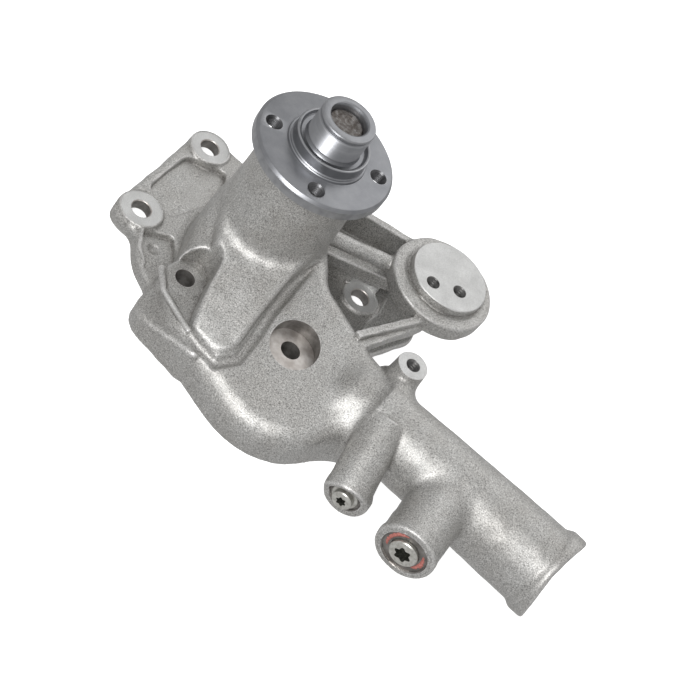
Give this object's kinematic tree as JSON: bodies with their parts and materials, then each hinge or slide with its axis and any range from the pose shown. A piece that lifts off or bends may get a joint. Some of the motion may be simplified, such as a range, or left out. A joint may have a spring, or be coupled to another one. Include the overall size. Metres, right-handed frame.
{
  "type": "engine water pump",
  "caption": "Engine water pump: cast housing with mounting ears, upright shaft with flanged hub, ribbed bracket disc and a side outlet pipe with plugged sensor bosses.",
  "frame": {"origin": "middle of the plan of the whole pump, on the mounting face", "axes": "+Z along the shaft towards the pulley hub, +X along the outlet pipe towards its open end, +Y away from the sensor bosses"},
  "size_m": [0.3172, 0.1816, 0.1355],
  "materials": {
    "cast_housing": "as-cast",
    "turned_hub": "turned",
    "bearing_steel": "ground",
    "cage_plastic": "matte",
    "seal_rubber": "matte",
    "cast_impeller": "as-cast",
    "ceramic": "polished",
    "carbon": "lapped",
    "seal_brass": "satin",
    "spring_steel": "satin",
    "plug_steel": "zinc plated"
  },
  "bodies": {
    "housing": {"pump_housing": "cast_housing", "bearing_sleeve": "bearing_steel", "bearing_seal_front": "seal_rubber", "bearing_seal_rear": "seal_rubber", "seal_cup": "seal_brass", "seal_bellows": "seal_rubber", "seal_spring": "spring_steel", "seal_carbon_ring": "carbon", "small_screw_plug": "plug_steel", "large_screw_plug": "plug_steel"},
    "rotor": {"pump_shaft": "bearing_steel", "pulley_hub": "turned_hub", "impeller": "cast_impeller", "seal_seat_boot": "seal_rubber", "seal_ceramic_seat": "ceramic"},
    "ball_row": {"ball_cage": "cage_plastic", "bearing_ball_1": "bearing_steel", "bearing_ball_2": "bearing_steel", "bearing_ball_3": "bearing_steel", "bearing_ball_4": "bearing_steel", "bearing_ball_5": "bearing_steel", "bearing_ball_6": "bearing_steel", "bearing_ball_7": "bearing_steel", "bearing_ball_8": "bearing_steel"},
    "roller_row": {"roller_cage": "cage_plastic", "bearing_roller_1": "bearing_steel", "bearing_roller_2": "bearing_steel", "bearing_roller_3": "bearing_steel", "bearing_roller_4": "bearing_steel", "bearing_roller_5": "bearing_steel", "bearing_roller_6": "bearing_steel", "bearing_roller_7": "bearing_steel", "bearing_roller_8": "bearing_steel"}
  },
  "joints": [
    {"name": "rotor_spin", "type": "hinge", "parent": "housing", "child": "rotor", "pos_m": [-0.08345, 0.00967, 0.11], "axis": [0, 0, 1], "continuous": true},
    {"name": "ball_row_spin", "type": "hinge", "parent": "housing", "child": "ball_row", "pos_m": [-0.08345, 0.00967, 0.082], "axis": [0, 0, 1], "continuous": true},
    {"name": "roller_row_spin", "type": "hinge", "parent": "housing", "child": "roller_row", "pos_m": [-0.08345, 0.00967, 0.06], "axis": [0, 0, 1], "continuous": true}
  ],
  "couplings": [
    {"joint": "ball_row_spin", "follows": "rotor_spin", "ratio": 0.4},
    {"joint": "roller_row_spin", "follows": "rotor_spin", "ratio": 0.4}
  ]
}
